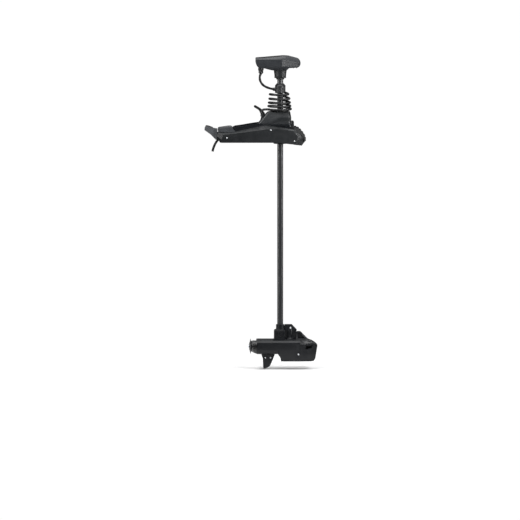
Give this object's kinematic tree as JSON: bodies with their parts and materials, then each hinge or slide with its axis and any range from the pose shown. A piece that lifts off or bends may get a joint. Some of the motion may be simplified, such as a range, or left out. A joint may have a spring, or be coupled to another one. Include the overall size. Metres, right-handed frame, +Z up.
{
  "type": "bow-mount trolling motor",
  "caption": "Electric bow-mount trolling motor: tilting mount with foot release, steering servo, long shaft, coiled cord, display head, and propeller lower unit with skeg and sensor housing.",
  "frame": {"origin": "centre of the deck-mounting face, under the mount's base plate", "axes": "+X towards the bow, along the mount; +Y to starboard's far side cover; +Z up along the shaft when deployed"},
  "size_m": [0.685, 0.256, 1.9154],
  "materials": {
    "cover_plastic": "fine-textured charcoal moulding",
    "satin_plastic": "satin dark grey moulding",
    "black_plastic": "matte black moulding",
    "cable_jacket": "extruded black jacket",
    "pad_rubber": "ribbed rubber",
    "shaft_composite": "pultruded black composite, satin gloss",
    "frame_alloy": "bead-blasted, dark anodised",
    "cast_alloy": "as cast, machined seats",
    "painted_alloy": "powder coat, fine texture",
    "stainless": "turned",
    "display_glass": "polished display window",
    "nylon": "natural nylon",
    "brass": "machined",
    "circuit": "solder mask",
    "winding": "copper winding on a steel stack",
    "prop_plastic": "glass-filled nylon, satin"
  },
  "bodies": {
    "mount": {"base_frame": "frame_alloy", "left_side_cover": "cover_plastic", "right_side_cover": "cover_plastic", "left_ramp_pad": "pad_rubber", "right_ramp_pad": "pad_rubber", "cover_screw_1": "stainless", "cover_screw_2": "stainless", "cover_screw_3": "stainless", "cover_screw_4": "stainless", "stern_end_cap": "satin_plastic", "saddle_block": "satin_plastic", "channel_tray": "black_plastic", "pivot_pin": "stainless", "pivot_bushing_left": "nylon", "pivot_bushing_right": "nylon", "pedal_pin": "stainless", "power_cable": "cable_jacket"},
    "pedal": {"foot_pedal": "satin_plastic", "pedal_tread": "pad_rubber"},
    "pedal_rod": {"push_rod": "stainless"},
    "pawl": {"lock_pawl": "cast_alloy"},
    "servo": {"servo_chassis": "cast_alloy", "servo_shroud": "cover_plastic", "front_block": "black_plastic", "lower_bushing": "black_plastic", "upper_bearing": "stainless", "steering_motor": "cast_alloy", "control_board": "circuit", "lever_bracket": "black_plastic", "coil_tail": "cable_jacket"},
    "lever": {"clamp_lever": "black_plastic"},
    "pinion": {"steering_pinion": "brass"},
    "steering": {"steering_sleeve": "cast_alloy", "drive_gear": "nylon", "coil_base_ring": "black_plastic", "coil_cord": "cable_jacket"},
    "shaft": {"shaft_tube": "shaft_composite", "depth_collar": "cover_plastic", "seal_ring": "black_plastic", "head_socket": "cover_plastic", "cable_gland": "black_plastic", "loop_cable": "cable_jacket", "head_lower_shell": "satin_plastic", "head_upper_shell": "satin_plastic", "display_panel": "display_glass", "head_board": "circuit", "lower_bracket": "painted_alloy", "bracket_bolt": "painted_alloy", "bracket_plate": "painted_alloy", "motor_housing": "painted_alloy", "rear_end_bell": "painted_alloy", "stator": "winding", "front_bearing": "stainless", "skeg": "painted_alloy", "nose_shell": "cover_plastic", "transducer_element": "display_glass"},
    "button": {"power_button": "black_plastic"},
    "prop": {"propeller": "prop_plastic", "rotor_shaft": "stainless", "prop_nut": "stainless"}
  },
  "joints": [
    {"name": "stow_pivot", "type": "hinge", "parent": "mount", "child": "servo", "pos_m": [0.112, 0, 0.088], "axis": [0, -1, 0], "range_deg": [0, 80]},
    {"name": "steer", "type": "hinge", "parent": "servo", "child": "steering", "pos_m": [0.2, 0, 0.1], "axis": [0, 0, 1], "range_deg": [-360, 360]},
    {"name": "pinion_spin", "type": "hinge", "parent": "servo", "child": "pinion", "pos_m": [0.153, 0, 0.124], "axis": [0, 0, 1], "range_deg": [-1440, 1440]},
    {"name": "depth_slide", "type": "slide", "parent": "steering", "child": "shaft", "axis": [0, 0, 1], "range_m": [0, 0.95], "deforming": ["coil_cord"]},
    {"name": "prop_spin", "type": "hinge", "parent": "shaft", "child": "prop", "pos_m": [0.2, 0, -1.248], "axis": [1, 0, 0], "continuous": true},
    {"name": "power_press", "type": "slide", "parent": "shaft", "child": "button", "axis": [0, 0, -1], "range_m": [0, 0.0015], "stiffness_N_per_m": 300},
    {"name": "clamp_release", "type": "hinge", "parent": "servo", "child": "lever", "pos_m": [0.087, 0, 0.156], "axis": [0, -1, 0], "range_deg": [-25, 0]},
    {"name": "pedal_press", "type": "hinge", "parent": "mount", "child": "pedal", "pos_m": [-0.192, 0, 0.048], "axis": [0, -1, 0], "range_deg": [0, 12], "stiffness_Nm_per_rad": 6},
    {"name": "rod_travel", "type": "slide", "parent": "mount", "child": "pedal_rod", "axis": [1, 0, 0], "range_m": [0, 0.0065]},
    {"name": "pawl_release", "type": "hinge", "parent": "mount", "child": "pawl", "pos_m": [0.08, 0, 0.022], "axis": [0, -1, 0], "range_deg": [-12, 0]}
  ],
  "couplings": [
    {"joint": "pinion_spin", "follows": "steer", "ratio": -4},
    {"joint": "rod_travel", "follows": "pedal_press", "m_per_rad": 0.028},
    {"joint": "pawl_release", "follows": "pedal_press", "ratio": -0.8}
  ]
}
